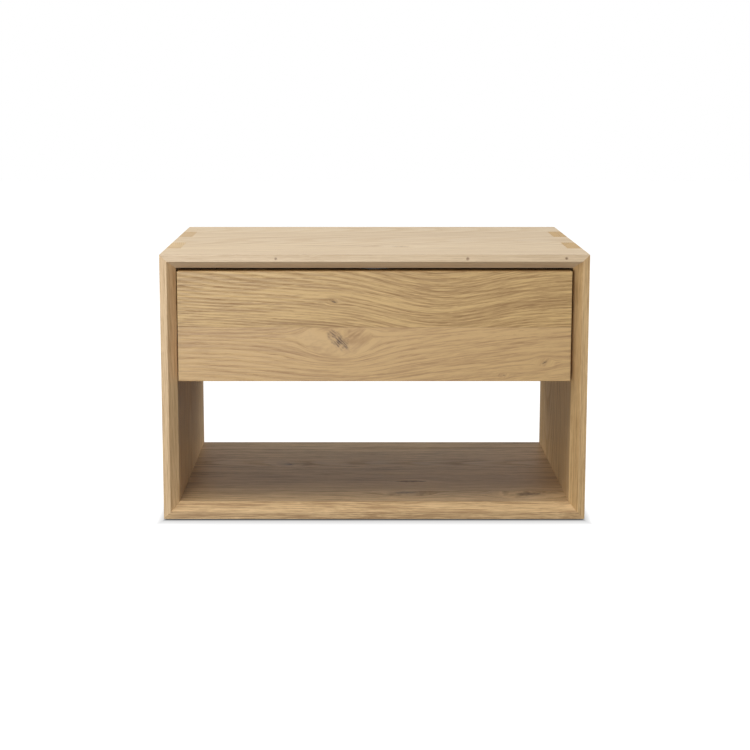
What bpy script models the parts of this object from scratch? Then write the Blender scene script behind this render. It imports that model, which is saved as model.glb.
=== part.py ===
"""A solid-oak nightstand: an open box case with finger-jointed corners and one push-to-open drawer.

Frame: metres, +Z up, the floor at z = 0 under the middle of the case, and the drawer faces -Y.
The case is a ring of four boards whose front and back edges are bevelled on the inside. The drawer
hangs under the top on two telescopic ball-bearing slides, and a push latch under the top opens it.
"""

import math

import bmesh
import bpy
from mathutils import Matrix, Vector

MM = 0.001

# Driving dimensions of the case.
WIDTH = 550 * MM
DEPTH = 350 * MM
HEIGHT = 350 * MM
BOARD = 19 * MM  # thickness of the case boards and of the drawer front
EDGE = 9 * MM  # thickness left at a board's front and back edge by the inner bevel
BEVEL = 16 * MM  # how far back the bevel runs, which is also the length of the mitre
FINGERS = 5
GAP = 0.3 * MM  # left between touching pieces
REVEAL = 3 * MM  # gap around the drawer front
PAD = 2 * MM  # height of the felt floor pads

# Driving dimensions of the drawer.
DRAWER_FRONT_HEIGHT = 143 * MM
DRAWER_WALL = 12 * MM
DRAWER_BOX_HEIGHT = 108 * MM
DRAWER_BOX_LIFT = 12.5 * MM  # the box's lower edge above the front's lower edge
DRAWER_BOX_LENGTH = 285 * MM
DRAWER_BOTTOM = 6 * MM
GROOVE_DEPTH = 5.7 * MM
GROOVE_LIFT = 12 * MM

# Driving dimensions of the slides, the latch and the fastenings.
SLIDE_LENGTH = 250 * MM
SLIDE_THICKNESS = 13 * MM  # from the case side to the drawer side
SHEET = 1.2 * MM
BALL_RADIUS = 2.2 * MM
BALLS_IN_ROW = 4
BACK_PANEL = 16 * MM
DOWEL_RADIUS = 4 * MM
DOWEL_LENGTH = 30 * MM
DOWEL_IN_SIDE = 12 * MM
ROUND = 10  # sides of a screw or a dowel
PAD_SIDES = 20

# Planes worked out from them.
FRONT = -DEPTH / 2
BACK = DEPTH / 2
CASE_LOW = PAD
INNER_X = WIDTH / 2 - BOARD
SHELF_TOP = CASE_LOW + BOARD
TOP_UNDERSIDE = HEIGHT - BOARD
FINGER = DEPTH / FINGERS
FRONT_BACK_FACE = FRONT + BOARD
DRAWER_TOP = TOP_UNDERSIDE - REVEAL + 0.5 * MM
DRAWER_LOW = DRAWER_TOP - DRAWER_FRONT_HEIGHT
BOX_X = INNER_X - SLIDE_THICKNESS
BOX_LOW = DRAWER_LOW + DRAWER_BOX_LIFT
BOX_TOP = BOX_LOW + DRAWER_BOX_HEIGHT
BOX_FRONT = FRONT_BACK_FACE + GAP
BOX_BACK = BOX_FRONT + DRAWER_BOX_LENGTH
BOTTOM_LOW = BOX_LOW + GROOVE_LIFT
BOTTOM_TOP = BOTTOM_LOW + DRAWER_BOTTOM
SLIDE_Z = BOX_LOW + 42 * MM
SLIDE_FRONT = FRONT_BACK_FACE + 6 * MM
SLIDE_BACK = SLIDE_FRONT + SLIDE_LENGTH
BACK_PANEL_BACK = BACK - BEVEL
BACK_PANEL_FRONT = BACK_PANEL_BACK - BACK_PANEL
LATCH_Z = TOP_UNDERSIDE - 9 * MM
LATCH_FRONT = FRONT_BACK_FACE + 12 * MM
LATCH_LENGTH = 60 * MM
DOWEL_HEIGHTS = {"lower": DRAWER_LOW + 30 * MM, "upper": TOP_UNDERSIDE - 30 * MM}
SIDE_WORDS = {-1: "left", 1: "right"}
UP = (0, 0, 1)

MATERIALS = {
    "oak": ((0.52, 0.35, 0.18), 0.55, 0.0),
    "drawer_oak": ((0.55, 0.39, 0.22), 0.55, 0.0),
    "birch_ply": ((0.62, 0.48, 0.30), 0.6, 0.0),
    "beech": ((0.60, 0.42, 0.26), 0.6, 0.0),
    "zinc_steel": ((0.60, 0.61, 0.63), 0.35, 1.0),
    "ball_steel": ((0.72, 0.73, 0.75), 0.12, 1.0),
    "black_steel": ((0.10, 0.10, 0.11), 0.4, 1.0),
    "grey_plastic": ((0.30, 0.31, 0.32), 0.5, 0.0),
    "black_plastic": ((0.03, 0.03, 0.035), 0.45, 0.0),
    "felt": ((0.16, 0.13, 0.11), 0.95, 0.0),
}


def make_material(name):
    colour, roughness, metallic = MATERIALS[name]
    material = bpy.data.materials.get(name) or bpy.data.materials.new(name)
    material.use_nodes = True
    shader = material.node_tree.nodes["Principled BSDF"]
    shader.inputs["Base Color"].default_value = (*colour, 1.0)
    shader.inputs["Roughness"].default_value = roughness
    shader.inputs["Metallic"].default_value = metallic
    return material


def make_body(name, location=(0, 0, 0)):
    """An empty that carries the pieces that move together."""
    empty = bpy.data.objects.new("body_" + name, None)
    empty.location = location
    bpy.context.scene.collection.objects.link(empty)
    return empty


def make_object(name, mesh_builder, material, body, origin=(0, 0, 0)):
    """mesh_builder fills a bmesh in world coordinates, and the object's own origin is put at origin."""
    bm = bmesh.new()
    mesh_builder(bm)
    bmesh.ops.recalc_face_normals(bm, faces=bm.faces)
    bmesh.ops.translate(bm, verts=bm.verts, vec=-Vector(origin))
    mesh = bpy.data.meshes.new(name)
    bm.to_mesh(mesh)
    bm.free()
    obj = bpy.data.objects.new(name, mesh)
    bpy.context.scene.collection.objects.link(obj)
    if material:
        mesh.materials.append(make_material(material))
    if body:
        obj.parent = body
        obj.location = Vector(origin) - body.location
    return obj


def shade_round(obj):
    obj.data.shade_smooth()
    obj.data.set_sharp_from_angle(angle=math.radians(40))
    return obj


def combine(obj, label, mesh_builder, operation):
    """Gives obj a Boolean with what mesh_builder makes, whose parts don't overlap each other."""
    tool = make_object(f"tool_{obj.name}_{label}", mesh_builder, None, None)
    tool.hide_render = True
    tool.display_type = "WIRE"
    modifier = obj.modifiers.new(label, "BOOLEAN")
    modifier.operation = operation
    modifier.object = tool


def cut(obj, label, mesh_builder):
    combine(obj, label, mesh_builder, "DIFFERENCE")


def add_box(bm, low, high):
    low, high = Vector(low), Vector(high)
    made = bmesh.ops.create_cube(bm, size=1)["verts"]
    bmesh.ops.scale(bm, verts=made, vec=high - low)
    bmesh.ops.translate(bm, verts=made, vec=(low + high) / 2)


def add_prism(bm, outline, axis, start, end):
    """Extrudes an outline along the axis "X", "Y" or "Z". Its two coordinates are the other two, in order."""
    place = {
        "X": lambda p: (start, p[0], p[1]),
        "Y": lambda p: (p[0], start, p[1]),
        "Z": lambda p: (p[0], p[1], start),
    }[axis]
    face = bm.faces.new([bm.verts.new(place(p)) for p in outline])
    made = bmesh.ops.extrude_face_region(bm, geom=[face])["geom"]
    step = Vector([end - start if letter == axis else 0 for letter in "XYZ"])
    moved = [v for v in made if isinstance(v, bmesh.types.BMVert)]
    bmesh.ops.translate(bm, verts=moved, vec=step)


def add_lathe(bm, profile, place, direction, segments=ROUND):
    """Turns a profile of (radius, height) about its axis. It starts at place and runs along direction."""
    points = [bm.verts.new((radius, 0, height)) for radius, height in profile]
    edges = [bm.edges.new(pair) for pair in zip(points, points[1:])]
    before = set(bm.verts) - set(points)
    bmesh.ops.spin(
        bm,
        geom=points + edges,
        axis=(0, 0, 1),
        cent=(0, 0, 0),
        steps=segments,
        angle=math.tau,
        use_merge=True,
    )
    made = [v for v in bm.verts if v not in before]
    bmesh.ops.remove_doubles(bm, verts=made, dist=0.001 * MM)
    made = [v for v in bm.verts if v not in before]
    turn = Vector((0, 0, 1)).rotation_difference(Vector(direction)).to_matrix().to_4x4()
    bmesh.ops.transform(bm, verts=made, matrix=Matrix.Translation(place) @ turn)


def add_cylinder(bm, radius, place, direction, length, segments=ROUND):
    profile = [(0, 0), (radius, 0), (radius, length), (0, length)]
    add_lathe(bm, profile, place, direction, segments)


def add_screw(bm, place, direction, length, room=0.0):
    """A countersunk screw whose head lies flush at place and whose point lies along direction.
    With room it is the hole that the screw sits in, which runs a little out of the surface."""
    head, shank, cone = 3.6 * MM + room, 1.7 * MM + room, 2.0 * MM
    profile = [(0, 0), (head, 0), (shank, cone), (shank, length - 3 * MM), (0, length + room)]
    if room:
        profile = [(0, -1 * MM), (head, -1 * MM), (head, 0), *profile[2:]]
    add_lathe(bm, profile, place, direction)


def make_screws(names, places, direction, length, body, held):
    """One screw at each place, and its hole in each of the held pieces."""
    for name, place in zip(names, places):
        screw = make_object(
            name,
            lambda bm, place=place: add_screw(bm, place, direction, length),
            "zinc_steel",
            body,
            place,
        )
        shade_round(screw)

    def holes(bm):
        for place in places:
            add_screw(bm, place, direction, length, GAP)

    for piece in held:
        cut(piece, names[0].replace("_screw", "") + "_holes", holes)


def boxes(*corners):
    def build(bm):
        for low, high in corners:
            add_box(bm, low, high)

    return build


# The case: four boards in a ring.


def board_outline(outer, inward):
    """A board's cross-section as (y, z or x), with its inner edges bevelled front and back."""
    return [
        (FRONT, outer),
        (BACK, outer),
        (BACK, outer + inward * EDGE),
        (BACK - BEVEL, outer + inward * BOARD),
        (FRONT + BEVEL, outer + inward * BOARD),
        (FRONT, outer + inward * EDGE),
    ]


def finger_spans(first):
    """The stretches of depth of every second finger, without the mitred ends."""
    for index in range(first, FINGERS, 2):
        low = max(FRONT + index * FINGER, FRONT + BEVEL)
        high = min(FRONT + (index + 1) * FINGER, BACK - BEVEL)
        yield low - GAP / 2, high + GAP / 2


MITRE_SPANS = ((FRONT - MM, FRONT + BEVEL + GAP / 2), (BACK - BEVEL - GAP / 2, BACK + MM))


def add_mitre_wedge(bm, side, level, keep_flat, span):
    """The half of a corner's square beyond its 45 degree plane. side is -1 or 1 in x, level is -1 for
    the bottom corner and 1 for the top. keep_flat leaves the lying board, and else the standing one."""
    corner_x, corner_z = side * WIDTH / 2, HEIGHT if level > 0 else CASE_LOW
    reach, slack = BOARD + 2 * MM, GAP / math.sqrt(2)
    inner = (corner_x - side * reach, corner_z - level * reach)
    outer = (corner_x + side * MM, corner_z + level * MM)
    if keep_flat:
        shift = Vector((-side * slack, 0))
        third = (outer[0], inner[1])
    else:
        shift = Vector((0, -level * slack))
        third = (inner[0], outer[1])
    outline = [Vector(point) + shift for point in (inner, outer, third)]
    add_prism(bm, outline, "Y", *span)


def make_lying_board(name, level, body):
    """The top or the bottom. It keeps its own fingers and is notched for those of the sides."""
    outer = HEIGHT if level > 0 else CASE_LOW
    middle = (0, 0, outer - level * BOARD / 2)
    board = make_object(
        name,
        lambda bm: add_prism(bm, board_outline(outer, -level), "X", -WIDTH / 2, WIDTH / 2),
        "oak",
        body,
        middle,
    )

    def notches(bm):
        for side in (-1, 1):
            for low, high in finger_spans(1):
                near, far = sorted((side * (INNER_X - GAP), side * (WIDTH / 2 + MM)))
                add_box(bm, (near, low, middle[2] - BOARD), (far, high, middle[2] + BOARD))

    def wedges(bm):
        for side in (-1, 1):
            for span in MITRE_SPANS:
                add_mitre_wedge(bm, side, level, True, span)

    cut(board, "notches", notches)
    cut(board, "mitres", wedges)
    return board


def make_standing_board(name, side, body):
    """A side. Its fingers come up through the top and down through the bottom."""
    middle = (side * (WIDTH / 2 - BOARD / 2), 0, (HEIGHT + CASE_LOW) / 2)
    outline = [(x, y) for y, x in board_outline(side * WIDTH / 2, -side)]
    board = make_object(
        name,
        lambda bm: add_prism(bm, outline, "Z", CASE_LOW, HEIGHT),
        "oak",
        body,
        middle,
    )

    def notches(bm):
        for low, high in finger_spans(0):
            near, far = sorted((side * (INNER_X - MM), side * (WIDTH / 2 + MM)))
            add_box(bm, (near, low, TOP_UNDERSIDE - GAP), (far, high, HEIGHT + MM))
            add_box(bm, (near, low, CASE_LOW - MM), (far, high, SHELF_TOP + GAP))

    def wedges(bm):
        for level in (-1, 1):
            for span in MITRE_SPANS:
                add_mitre_wedge(bm, side, level, False, span)

    cut(board, "notches", notches)
    cut(board, "mitres", wedges)
    return board


def add_dowel(bm, side, z, room=0.0):
    """A dowel across a side and the back panel. With room it is the pair of blind holes that it sits in."""
    outer_end = side * (INNER_X + DOWEL_IN_SIDE + room)
    middle_y = (BACK_PANEL_FRONT + BACK_PANEL_BACK) / 2
    length = DOWEL_LENGTH + 2 * room
    add_cylinder(bm, DOWEL_RADIUS + room, (outer_end, middle_y, z), (-side, 0, 0), length)


def make_case(case):
    top = make_lying_board("top_panel", 1, case)
    make_lying_board("bottom_panel", -1, case)
    sides = {
        side: make_standing_board(f"{word}_side_panel", side, case)
        for side, word in SIDE_WORDS.items()
    }
    low = (-INNER_X + GAP, BACK_PANEL_FRONT, DRAWER_LOW)
    high = (INNER_X - GAP, BACK_PANEL_BACK, TOP_UNDERSIDE - GAP)
    middle = (Vector(low) + Vector(high)) / 2
    back = make_object("back_panel", boxes((low, high)), "oak", case, middle)

    def holes(bm, at_sides=(-1, 1)):
        for side in at_sides:
            for z in DOWEL_HEIGHTS.values():
                add_dowel(bm, side, z, GAP)

    cut(back, "dowel_holes", holes)
    for side, word in SIDE_WORDS.items():
        cut(sides[side], "dowel_holes", lambda bm, side=side: holes(bm, (side,)))
        for level, z in DOWEL_HEIGHTS.items():
            dowel = make_object(
                f"back_panel_{level}_{word}_dowel",
                lambda bm, side=side, z=z: add_dowel(bm, side, z),
                "beech",
                case,
            )
            shade_round(dowel)
    return top, sides


def make_floor_pads(case):
    inset, radius = 24 * MM, 11 * MM
    for side, word in SIDE_WORDS.items():
        for end, place in ((-1, "front"), (1, "back")):
            middle = Vector((side * (WIDTH / 2 - inset), end * (DEPTH / 2 - inset), 0))
            pad = make_object(
                f"{place}_{word}_floor_pad",
                lambda bm, at=middle: add_cylinder(bm, radius, at, UP, PAD - GAP, PAD_SIDES),
                "felt",
                case,
                middle,
            )
            shade_round(pad)


# The slides: an outer rail on the case, an intermediate rail and an inner rail on the drawer.
# Their sections are drawn in a, the distance in from the case side, and z from the slide's middle.

CAGE_SHEET = 0.8 * MM
OUTER_RAIL = {"web": GAP, "end": 9.5 * MM, "half": 22.5 * MM, "lip": 1.5 * MM}
MIDDLE_RAIL = {"web": 3.6 * MM, "end": 11.2 * MM, "half": 16.5 * MM}
INNER_RAIL = {"web": SLIDE_THICKNESS - GAP, "end": 7.4 * MM, "half": 10.2 * MM}
OUTER_CAGE = {"web": 2.1 * MM, "end": 9.2 * MM, "half": 19.3 * MM, "sheet": CAGE_SHEET}
INNER_CAGE = {"web": 5.5 * MM, "end": 11.9 * MM, "half": 13.15 * MM, "sheet": CAGE_SHEET}
OUTER_BALLS, INNER_BALLS = 6.0 * MM, 8.7 * MM  # how far in from the case side the balls run
OUTER_CAGE_SPAN = (-90 * MM, 28 * MM)
INNER_CAGE_SPAN = (-88 * MM, 10 * MM)
RAIL_SCREW_INSETS = {"front": 30 * MM, "back": 220 * MM}
RAIL_SCREW_LENGTH = 11 * MM


def across(side, a):
    """World x at the distance a in from that side's inner face."""
    return side * (INNER_X - a)


def channel_outline(side, web, end, half, sheet=SHEET, lip=0.0):
    """A channel with its web at a = web, open towards a = end, with lips turned in if it has any."""
    toward = 1 if end > web else -1
    inside = web + toward * sheet
    if lip:
        tip = end - toward * sheet
        upper = [(end, half), (end, half - sheet - lip), (tip, half - sheet - lip), (tip, half - sheet)]
    else:
        upper = [(end, half), (end, half - sheet)]
    upper = [(web, half), *upper, (inside, half - sheet)]
    lower = [(a, -z) for a, z in reversed(upper)]
    return [(across(side, a), SLIDE_Z + z) for a, z in upper + lower]


def make_rail(name, side, body, span, section, metal="zinc_steel"):
    middle = (across(side, section["web"]), sum(span) / 2, SLIDE_Z)
    outline = channel_outline(side, **section)
    return make_object(name, lambda bm: add_prism(bm, outline, "Y", *span), metal, body, middle)


def ball_places(side, cage, balls_in, span):
    """The balls' centres: one row in the upper raceway and one in the lower."""
    pitch = (span[1] - span[0]) / BALLS_IN_ROW
    for level in (-1, 1):
        z = SLIDE_Z + level * (cage["half"] - CAGE_SHEET / 2)
        for index in range(BALLS_IN_ROW):
            yield Vector((across(side, balls_in), span[0] + (index + 0.5) * pitch, z))


def make_cage(name, side, cage, balls_in, span):
    """A ball cage: a thin channel whose two flanges hold the balls, joined with them into one solid."""
    holder = make_rail(name, side, make_body(name), span, cage, "black_steel")

    def balls(bm):
        for place in ball_places(side, cage, balls_in, span):
            spot = Matrix.Translation(place)
            bmesh.ops.create_icosphere(bm, subdivisions=2, radius=BALL_RADIUS, matrix=spot)

    combine(holder, "balls", balls, "UNION")


def make_release_lever(word, side, drawer):
    """The lever in the inner rail that frees the drawer: a flat spring arm with a thumb tab, on a rivet."""
    pivot = Vector((across(side, 10.4 * MM), SLIDE_FRONT + 95 * MM, SLIDE_Z))
    thick, rivet_radius = 1.6 * MM, 1.4 * MM
    lever_body = make_body(f"{word}_release_lever", pivot)
    arm = [(-5, -3), (-3, -4), (4, -4), (34, -2), (38, -3.4), (42, -3.4)]
    arm += [(42, 3.4), (38, 3.4), (34, 2), (4, 4), (-3, 4), (-5, 3)]
    outline = [(pivot.y + y * MM, pivot.z + z * MM) for y, z in arm]
    lever = make_object(
        f"{word}_release_lever",
        lambda bm: add_prism(bm, outline, "X", pivot.x - thick / 2, pivot.x + thick / 2),
        "black_plastic",
        lever_body,
        pivot,
    )
    start = pivot - Vector((2 * MM, 0, 0))
    cut(lever, "pivot_hole", lambda bm: add_cylinder(bm, 1.55 * MM, start, (1, 0, 0), 4 * MM, 16))
    rivet = make_object(
        f"{word}_release_lever_rivet",
        lambda bm: add_cylinder(
            bm, rivet_radius, pivot - Vector((side * 0.8 * MM, 0, 0)), (side, 0, 0), 2.0 * MM, 16
        ),
        "zinc_steel",
        drawer,
        pivot,
    )
    shade_round(rivet)


def make_slide(side, case, drawer, case_side, drawer_side):
    word = SIDE_WORDS[side]
    rails = (
        ("outer_rail", case, OUTER_RAIL, (SLIDE_FRONT, SLIDE_BACK)),
        ("intermediate_rail", None, MIDDLE_RAIL, (SLIDE_FRONT + MM, SLIDE_BACK - 7 * MM)),
        ("inner_rail", drawer, INNER_RAIL, (SLIDE_FRONT + MM, SLIDE_BACK - 8 * MM)),
    )
    outer, _, inner = (
        make_rail(f"{word}_{name}", side, body or make_body(f"{word}_{name}"), span, section)
        for name, body, section, span in rails
    )
    make_cage(f"{word}_outer_cage", side, OUTER_CAGE, OUTER_BALLS, OUTER_CAGE_SPAN)
    make_cage(f"{word}_inner_cage", side, INNER_CAGE, INNER_BALLS, INNER_CAGE_SPAN)

    # The screws lie flush in both webs, so that the rails and cages pass over them.
    fastenings = (
        ("outer", case, (outer, case_side), OUTER_RAIL["web"] + SHEET, side),
        ("inner", drawer, (inner, drawer_side), INNER_RAIL["web"] - SHEET, -side),
    )
    for rail, body, held, a, toward in fastenings:
        names = [f"{word}_{rail}_rail_{end}_screw" for end in RAIL_SCREW_INSETS]
        places = [
            Vector((across(side, a), SLIDE_FRONT + inset, SLIDE_Z))
            for inset in RAIL_SCREW_INSETS.values()
        ]
        make_screws(names, places, (toward, 0, 0), RAIL_SCREW_LENGTH, body, held)

    stop = sorted((across(side, 1.8 * MM), across(side, 9 * MM)))
    low = (stop[0], SLIDE_BACK - 4 * MM, SLIDE_Z - 10 * MM)
    high = (stop[1], SLIDE_BACK, SLIDE_Z + 10 * MM)
    middle = (Vector(low) + Vector(high)) / 2
    make_object(f"{word}_rail_end_stop", boxes((low, high)), "grey_plastic", case, middle)
    make_release_lever(word, side, drawer)


# The drawer.


def drawer_finger_spans(first):
    height = DRAWER_BOX_HEIGHT / FINGERS
    for index in range(first, FINGERS, 2):
        yield BOX_LOW + index * height - GAP / 2, BOX_LOW + (index + 1) * height + GAP / 2


def make_drawer_side(side, drawer):
    low_x, high_x = sorted((side * BOX_X, side * (BOX_X - DRAWER_WALL)))
    low, high = (low_x, BOX_FRONT, BOX_LOW), (high_x, BOX_BACK, BOX_TOP)
    middle = (Vector(low) + Vector(high)) / 2
    wall = make_object(
        f"drawer_{SIDE_WORDS[side]}_side", boxes((low, high)), "drawer_oak", drawer, middle
    )

    def notches(bm):
        for low_z, high_z in drawer_finger_spans(1):
            for start, end in (
                (BOX_FRONT - MM, BOX_FRONT + DRAWER_WALL + GAP),
                (BOX_BACK - DRAWER_WALL - GAP, BOX_BACK + MM),
            ):
                add_box(bm, (low_x - MM, start, low_z), (high_x + MM, end, high_z))

    groove = sorted((side * (BOX_X - DRAWER_WALL - MM), side * (BOX_X - DRAWER_WALL + GROOVE_DEPTH)))
    slot = (
        (groove[0], BOX_FRONT - MM, BOTTOM_LOW - GAP),
        (groove[1], BOX_BACK + MM, BOTTOM_TOP + GAP),
    )
    cut(wall, "finger_notches", notches)
    cut(wall, "bottom_groove", boxes(slot))
    return wall


def make_drawer_end(name, drawer, start, low_z):
    """The box's inner front or its back, with fingers that come out through the sides."""
    low, high = (-BOX_X, start, low_z), (BOX_X, start + DRAWER_WALL, BOX_TOP)
    middle = (Vector(low) + Vector(high)) / 2
    wall = make_object(name, boxes((low, high)), "drawer_oak", drawer, middle)

    def notches(bm):
        for side in (-1, 1):
            near, far = sorted((side * (BOX_X - DRAWER_WALL - GAP), side * (BOX_X + MM)))
            for low_z_cut, high_z_cut in drawer_finger_spans(0):
                below = MM if low_z_cut < BOX_LOW else 0
                above = MM if high_z_cut > BOX_TOP else 0
                add_box(
                    bm,
                    (near, start - MM, low_z_cut - below),
                    (far, start + DRAWER_WALL + MM, high_z_cut + above),
                )

    cut(wall, "finger_notches", notches)
    return wall


def make_drawer(drawer):
    low = (-INNER_X + REVEAL, FRONT, DRAWER_LOW)
    high = (INNER_X - REVEAL, FRONT_BACK_FACE, DRAWER_TOP)
    middle = (Vector(low) + Vector(high)) / 2
    front = make_object("drawer_front", boxes((low, high)), "oak", drawer, middle)
    walls = {side: make_drawer_side(side, drawer) for side in (-1, 1)}
    box_front = make_drawer_end("drawer_box_front", drawer, BOX_FRONT, BOX_LOW)
    box_back = make_drawer_end(
        "drawer_box_back", drawer, BOX_BACK - DRAWER_WALL, BOTTOM_TOP + GAP
    )
    groove = (
        (-BOX_X, BOX_FRONT + DRAWER_WALL - GROOVE_DEPTH, BOTTOM_LOW - GAP),
        (BOX_X, BOX_FRONT + DRAWER_WALL + MM, BOTTOM_TOP + GAP),
    )
    cut(box_front, "bottom_groove", boxes(groove))

    reach = GROOVE_DEPTH - GAP
    panel_x = BOX_X - DRAWER_WALL + reach
    low = (-panel_x, BOX_FRONT + DRAWER_WALL - reach, BOTTOM_LOW)
    high = (panel_x, BOX_BACK, BOTTOM_TOP)
    middle = (Vector(low) + Vector(high)) / 2
    panel = make_object("drawer_bottom_panel", boxes((low, high)), "birch_ply", drawer, middle)

    face = BOX_FRONT + DRAWER_WALL
    levels = {"lower": BOX_LOW + 35 * MM, "upper": BOX_TOP - 25 * MM}
    names = [f"drawer_front_{level}_{word}_screw" for level in levels for word in ("left", "right")]
    places = [Vector((x, face, z)) for z in levels.values() for x in (-150 * MM, 150 * MM)]
    make_screws(names, places, (0, -1, 0), 25 * MM, drawer, (front, box_front))

    names = [f"drawer_bottom_{word}_screw" for word in ("left", "middle", "right")]
    middle_y = BOX_BACK - DRAWER_WALL / 2
    places = [Vector((x, middle_y, BOTTOM_LOW)) for x in (-140 * MM, 0, 140 * MM)]
    make_screws(names, places, (0, 0, 1), 20 * MM, drawer, (panel, box_back))
    return front, walls


# The push latch: a housing under the top, with a sprung plunger that pushes on the drawer front.

PLUNGER_RADIUS = 4.2 * MM
PLUNGER_BORE = 3.0 * MM
LATCH_BORE = 4.6 * MM
STRIKE = 1.5 * MM
TIP = 3 * MM


def make_latch(case, plunger_body, drawer, top, front):
    latch_back = LATCH_FRONT + LATCH_LENGTH
    flange, half_flange, half_body = 2.5 * MM, 17 * MM, 8 * MM
    roof, floor = TOP_UNDERSIDE - GAP, LATCH_Z - 6.5 * MM
    right = [(half_flange, roof), (half_flange, roof - flange), (half_body, roof - flange)]
    right.append((half_body, floor))
    outline = right + [(-x, z) for x, z in reversed(right)]
    middle = Vector((0, LATCH_FRONT, LATCH_Z))
    housing = make_object(
        "push_latch_housing",
        lambda bm: add_prism(bm, outline, "Y", LATCH_FRONT, latch_back),
        "grey_plastic",
        case,
        middle,
    )
    bore_length = LATCH_LENGTH - 3 * MM
    cut(
        housing,
        "bore",
        lambda bm: add_cylinder(
            bm, LATCH_BORE, middle - Vector((0, MM, 0)), (0, 1, 0), bore_length + MM, 20
        ),
    )
    ear = 12.5 * MM
    places = [
        Vector((-ear, latch_back - 14 * MM, roof - flange)),
        Vector((ear, LATCH_FRONT + 14 * MM, roof - flange)),
    ]
    names = ("push_latch_left_screw", "push_latch_right_screw")
    make_screws(names, places, (0, 0, 1), 12 * MM, case, (housing, top))

    plate_face = FRONT_BACK_FACE + GAP + STRIKE
    low = (-15 * MM, FRONT_BACK_FACE + GAP, LATCH_Z - 5.5 * MM)
    high = (15 * MM, plate_face, LATCH_Z + 5.5 * MM)
    plate_middle = (Vector(low) + Vector(high)) / 2
    plate = make_object("strike_plate", boxes((low, high)), "zinc_steel", drawer, plate_middle)
    places = [Vector((x, plate_face, LATCH_Z)) for x in (-10 * MM, 10 * MM)]
    names = ("strike_plate_left_screw", "strike_plate_right_screw")
    make_screws(names, places, (0, -1, 0), 10 * MM, drawer, (plate, front))

    tip_start = Vector((0, plate_face + GAP, LATCH_Z))
    rod_start = tip_start + Vector((0, TIP + GAP, 0))
    rod_length, bore_start = 50 * MM, 20 * MM
    profile = [
        (0, 0),
        (PLUNGER_RADIUS, 0),
        (PLUNGER_RADIUS, rod_length),
        (PLUNGER_BORE, rod_length),
        (PLUNGER_BORE, bore_start),
        (0, bore_start),
    ]
    rod = make_object(
        "push_latch_plunger",
        lambda bm: add_lathe(bm, profile, rod_start, (0, 1, 0), 20),
        "grey_plastic",
        plunger_body,
        tip_start,
    )
    magnet = make_object(
        "push_latch_magnet",
        lambda bm: add_cylinder(bm, 4 * MM, tip_start, (0, 1, 0), TIP, 20),
        "black_steel",
        plunger_body,
        tip_start,
    )
    shade_round(rod)
    shade_round(magnet)

    coil_front = rod_start.y + bore_start + GAP
    coil_back = LATCH_FRONT + bore_length - 0.6 * MM
    make_spring("push_latch_spring", case, coil_front, coil_back)


def make_spring(name, body, start, end):
    """A coil spring along Y in the latch's bore, as a curve with a round section."""
    turns, steps, coil_radius, wire = 9, 9, 2.2 * MM, 0.35 * MM
    start, end = start + wire, end - wire
    curve = bpy.data.curves.new(name, "CURVE")
    curve.dimensions = "3D"
    curve.bevel_depth = wire
    curve.bevel_resolution = 1
    curve.use_fill_caps = True
    spline = curve.splines.new("POLY")
    count = turns * steps + 1
    spline.points.add(count - 1)
    for index, point in enumerate(spline.points):
        angle = math.tau * index / steps
        y = start + (end - start) * index / (count - 1)
        x, z = coil_radius * math.cos(angle), LATCH_Z + coil_radius * math.sin(angle)
        point.co = (x, y, z, 1)
    curve.materials.append(make_material("zinc_steel"))
    spring = bpy.data.objects.new(name, curve)
    bpy.context.scene.collection.objects.link(spring)
    spring.parent = body


def main():
    for obj in list(bpy.data.objects):
        bpy.data.objects.remove(obj)
    case = make_body("case")
    plunger_body = make_body("latch_plunger", (0, LATCH_FRONT, LATCH_Z))
    drawer = make_body("drawer", (0, FRONT, SLIDE_Z))
    top, case_sides = make_case(case)
    make_floor_pads(case)
    front, drawer_sides = make_drawer(drawer)
    for side in (-1, 1):
        make_slide(side, case, drawer, case_sides[side], drawer_sides[side])
    make_latch(case, plunger_body, drawer, top, front)


main()
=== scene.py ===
# %% [markdown]
# # An oak nightstand with one push-to-open drawer
#
# The nightstand is a low box of solid oak. Four boards meet in finger joints at the corners, one drawer
# with a plain flush front hangs in the upper half on ball-bearing slides, and the lower half is an open
# shelf. This script dresses a model that is already exact in size: it reads every place and size from
# the frame, rounds and details the pieces, and gives each one its finish.

# %% Load the frame
import math

import bmesh
import bpy
from mathutils import Matrix, Vector


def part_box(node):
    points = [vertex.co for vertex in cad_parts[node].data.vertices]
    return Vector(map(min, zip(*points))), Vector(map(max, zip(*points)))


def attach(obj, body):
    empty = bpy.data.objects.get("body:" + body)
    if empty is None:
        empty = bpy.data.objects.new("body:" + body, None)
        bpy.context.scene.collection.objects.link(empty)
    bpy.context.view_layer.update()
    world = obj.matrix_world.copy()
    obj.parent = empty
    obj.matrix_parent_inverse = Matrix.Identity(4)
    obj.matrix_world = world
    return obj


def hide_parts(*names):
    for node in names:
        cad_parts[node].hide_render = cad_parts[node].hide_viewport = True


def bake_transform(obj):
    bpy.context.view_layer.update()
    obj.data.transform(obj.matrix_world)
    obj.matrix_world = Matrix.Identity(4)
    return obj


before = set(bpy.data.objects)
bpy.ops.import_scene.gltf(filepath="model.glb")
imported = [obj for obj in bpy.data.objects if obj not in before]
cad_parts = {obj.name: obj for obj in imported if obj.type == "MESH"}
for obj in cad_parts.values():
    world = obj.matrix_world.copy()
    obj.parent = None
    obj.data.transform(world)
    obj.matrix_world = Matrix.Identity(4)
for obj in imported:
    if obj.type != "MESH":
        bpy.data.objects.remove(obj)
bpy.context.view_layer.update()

MM = 0.001
scene = bpy.context.scene
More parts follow.
